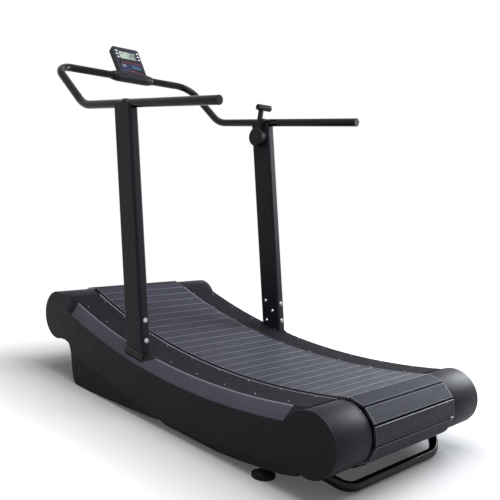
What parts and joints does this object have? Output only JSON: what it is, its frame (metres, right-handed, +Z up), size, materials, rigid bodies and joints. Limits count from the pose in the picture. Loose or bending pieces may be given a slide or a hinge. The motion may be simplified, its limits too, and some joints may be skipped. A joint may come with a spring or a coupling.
{
  "type": "curved manual treadmill",
  "caption": "Self-powered treadmill with a curved slat belt, black side covers, textured foot rails, leaning uprights, a looped tube handrail, a small console and a resistance lever.",
  "frame": {"origin": "centre of the machine's bounding box on the floor plane", "axes": "+Z up, +Y forward towards the console, +X to the runner's right"},
  "size_m": [0.856, 1.8993, 1.5356],
  "materials": {
    "frame_black": "satin powder coat",
    "cover_black": "moulded, satin",
    "trim_grey": "satin",
    "rail_black": "textured anti-slip",
    "cap_silver": "satin",
    "slat_metal": "extruded",
    "tread_rubber": "grooved",
    "carrier_rubber": "moulded belt",
    "steel": "zinc plated",
    "plate_steel": "powder coat",
    "disc_metal": "machined",
    "roller_plastic": "moulded",
    "plastic_black": "moulded, fine texture",
    "grip_rubber": "ribbed",
    "console_dark": "semi-gloss",
    "display": "clear window over a grey-green display",
    "label": "printed film with plain colour patches",
    "button_white": "semi-gloss",
    "wheel_rubber": "solid",
    "cable_black": "sheathed"
  },
  "bodies": {
    "base": {"base_frame": "frame_black", "brake_cable": "cable_black", "carrier_belts": "carrier_rubber", "console_back": "plastic_black", "console_clamp": "plastic_black", "console_housing": "console_dark", "console_label": "label", "console_lens": "display", "drum_bearings": "plate_steel", "edge_trims": "trim_grey", "foot_pads": "grip_rubber", "foot_rail_left": "rail_black", "foot_rail_right": "rail_black", "foot_rail_screws": "steel", "foot_studs": "steel", "frame_gussets": "frame_black", "front_cap_left": "cap_silver", "front_cap_right": "cap_silver", "front_skirts": "cover_black", "handrail": "frame_black", "lever_housing": "plastic_black", "lift_handle": "frame_black", "post_sockets": "frame_black", "rail_clamps": "frame_black", "rail_end_plugs": "plastic_black", "rail_ledges": "frame_black", "rear_cap_left": "cap_silver", "rear_cap_right": "cap_silver", "side_cover_left": "cover_black", "side_cover_right": "cover_black", "side_plates": "plate_steel", "support_rollers": "roller_plastic", "upright_bolts": "steel", "upright_left": "frame_black", "upright_right": "frame_black", "wheel_axles": "steel"},
    "top_run": {"top_slats": "slat_metal", "top_treads": "tread_rubber"},
    "front_drum_set": {"front_slats": "slat_metal", "front_treads": "tread_rubber", "front_drum": "plate_steel", "front_shaft": "steel", "brake_disc": "disc_metal"},
    "rear_drum_set": {"rear_slats": "slat_metal", "rear_treads": "tread_rubber", "rear_drum": "plate_steel", "rear_shaft": "steel"},
    "return_run": {"return_slats": "slat_metal", "return_treads": "tread_rubber"},
    "lever": {"lever_arm": "disc_metal", "lever_grip": "grip_rubber"},
    "magnet": {"magnet_carrier": "frame_black"},
    "wheel_left": {"transport_wheel_left": "wheel_rubber"},
    "wheel_right": {"transport_wheel_right": "wheel_rubber"},
    "key_left_1": {"button_left_1": "button_white"},
    "key_left_2": {"button_left_2": "button_white"},
    "key_left_3": {"button_left_3": "button_white"},
    "key_right_1": {"button_right_1": "button_white"},
    "key_right_2": {"button_right_2": "button_white"},
    "key_right_3": {"button_right_3": "button_white"}
  },
  "joints": [
    {"name": "belt_travel", "type": "hinge", "parent": "base", "child": "top_run", "pos_m": [0, -0.24301, 3.11265], "axis": [1, 0, 0], "range_deg": [-0.72, 0.48]},
    {"name": "front_drum_turn", "type": "hinge", "parent": "base", "child": "front_drum_set", "pos_m": [0, 0.6642, 0.272], "axis": [1, 0, 0], "range_deg": [-13.49, 20.23]},
    {"name": "rear_drum_turn", "type": "hinge", "parent": "base", "child": "rear_drum_set", "pos_m": [0, -0.835, 0.19], "axis": [1, 0, 0], "range_deg": [-13.49, 20.23]},
    {"name": "return_travel", "type": "slide", "parent": "base", "child": "return_run", "axis": [0, 0.9985, 0.0546], "range_m": [-0.02401, 0.03601]},
    {"name": "lever_tilt", "type": "hinge", "parent": "base", "child": "lever", "pos_m": [0.35, 0.263, 1.142], "axis": [1, 0, 0], "range_deg": [-25, 35]},
    {"name": "magnet_swing", "type": "hinge", "parent": "base", "child": "magnet", "pos_m": [0.314, 0.58151, 0.2419], "axis": [1, 0, 0], "range_deg": [-17.5, 12.5]},
    {"name": "wheel_roll_left", "type": "hinge", "parent": "base", "child": "wheel_left", "pos_m": [-0.351, 0.416, 0.037], "axis": [1, 0, 0], "continuous": true},
    {"name": "wheel_roll_right", "type": "hinge", "parent": "base", "child": "wheel_right", "pos_m": [0.351, 0.416, 0.037], "axis": [1, 0, 0], "continuous": true},
    {"name": "press_left_1", "type": "slide", "parent": "base", "child": "key_left_1", "axis": [0, 0.8049, -0.5934], "range_m": [0, 0.0015], "stiffness_N_per_m": 800, "springref_m": -0.0004},
    {"name": "press_left_2", "type": "slide", "parent": "base", "child": "key_left_2", "axis": [0, 0.8049, -0.5934], "range_m": [0, 0.0015], "stiffness_N_per_m": 800, "springref_m": -0.0004},
    {"name": "press_left_3", "type": "slide", "parent": "base", "child": "key_left_3", "axis": [0, 0.8049, -0.5934], "range_m": [0, 0.0015], "stiffness_N_per_m": 800, "springref_m": -0.0004},
    {"name": "press_right_1", "type": "slide", "parent": "base", "child": "key_right_1", "axis": [0, 0.8049, -0.5934], "range_m": [0, 0.0015], "stiffness_N_per_m": 800, "springref_m": -0.0004},
    {"name": "press_right_2", "type": "slide", "parent": "base", "child": "key_right_2", "axis": [0, 0.8049, -0.5934], "range_m": [0, 0.0015], "stiffness_N_per_m": 800, "springref_m": -0.0004},
    {"name": "press_right_3", "type": "slide", "parent": "base", "child": "key_right_3", "axis": [0, 0.8049, -0.5934], "range_m": [0, 0.0015], "stiffness_N_per_m": 800, "springref_m": -0.0004}
  ],
  "couplings": [
    {"joint": "front_drum_turn", "follows": "belt_travel", "ratio": -28.235},
    {"joint": "rear_drum_turn", "follows": "belt_travel", "ratio": -28.235},
    {"joint": "return_travel", "follows": "belt_travel", "m_per_rad": -2.88},
    {"joint": "magnet_swing", "follows": "lever_tilt", "ratio": -0.5}
  ]
}
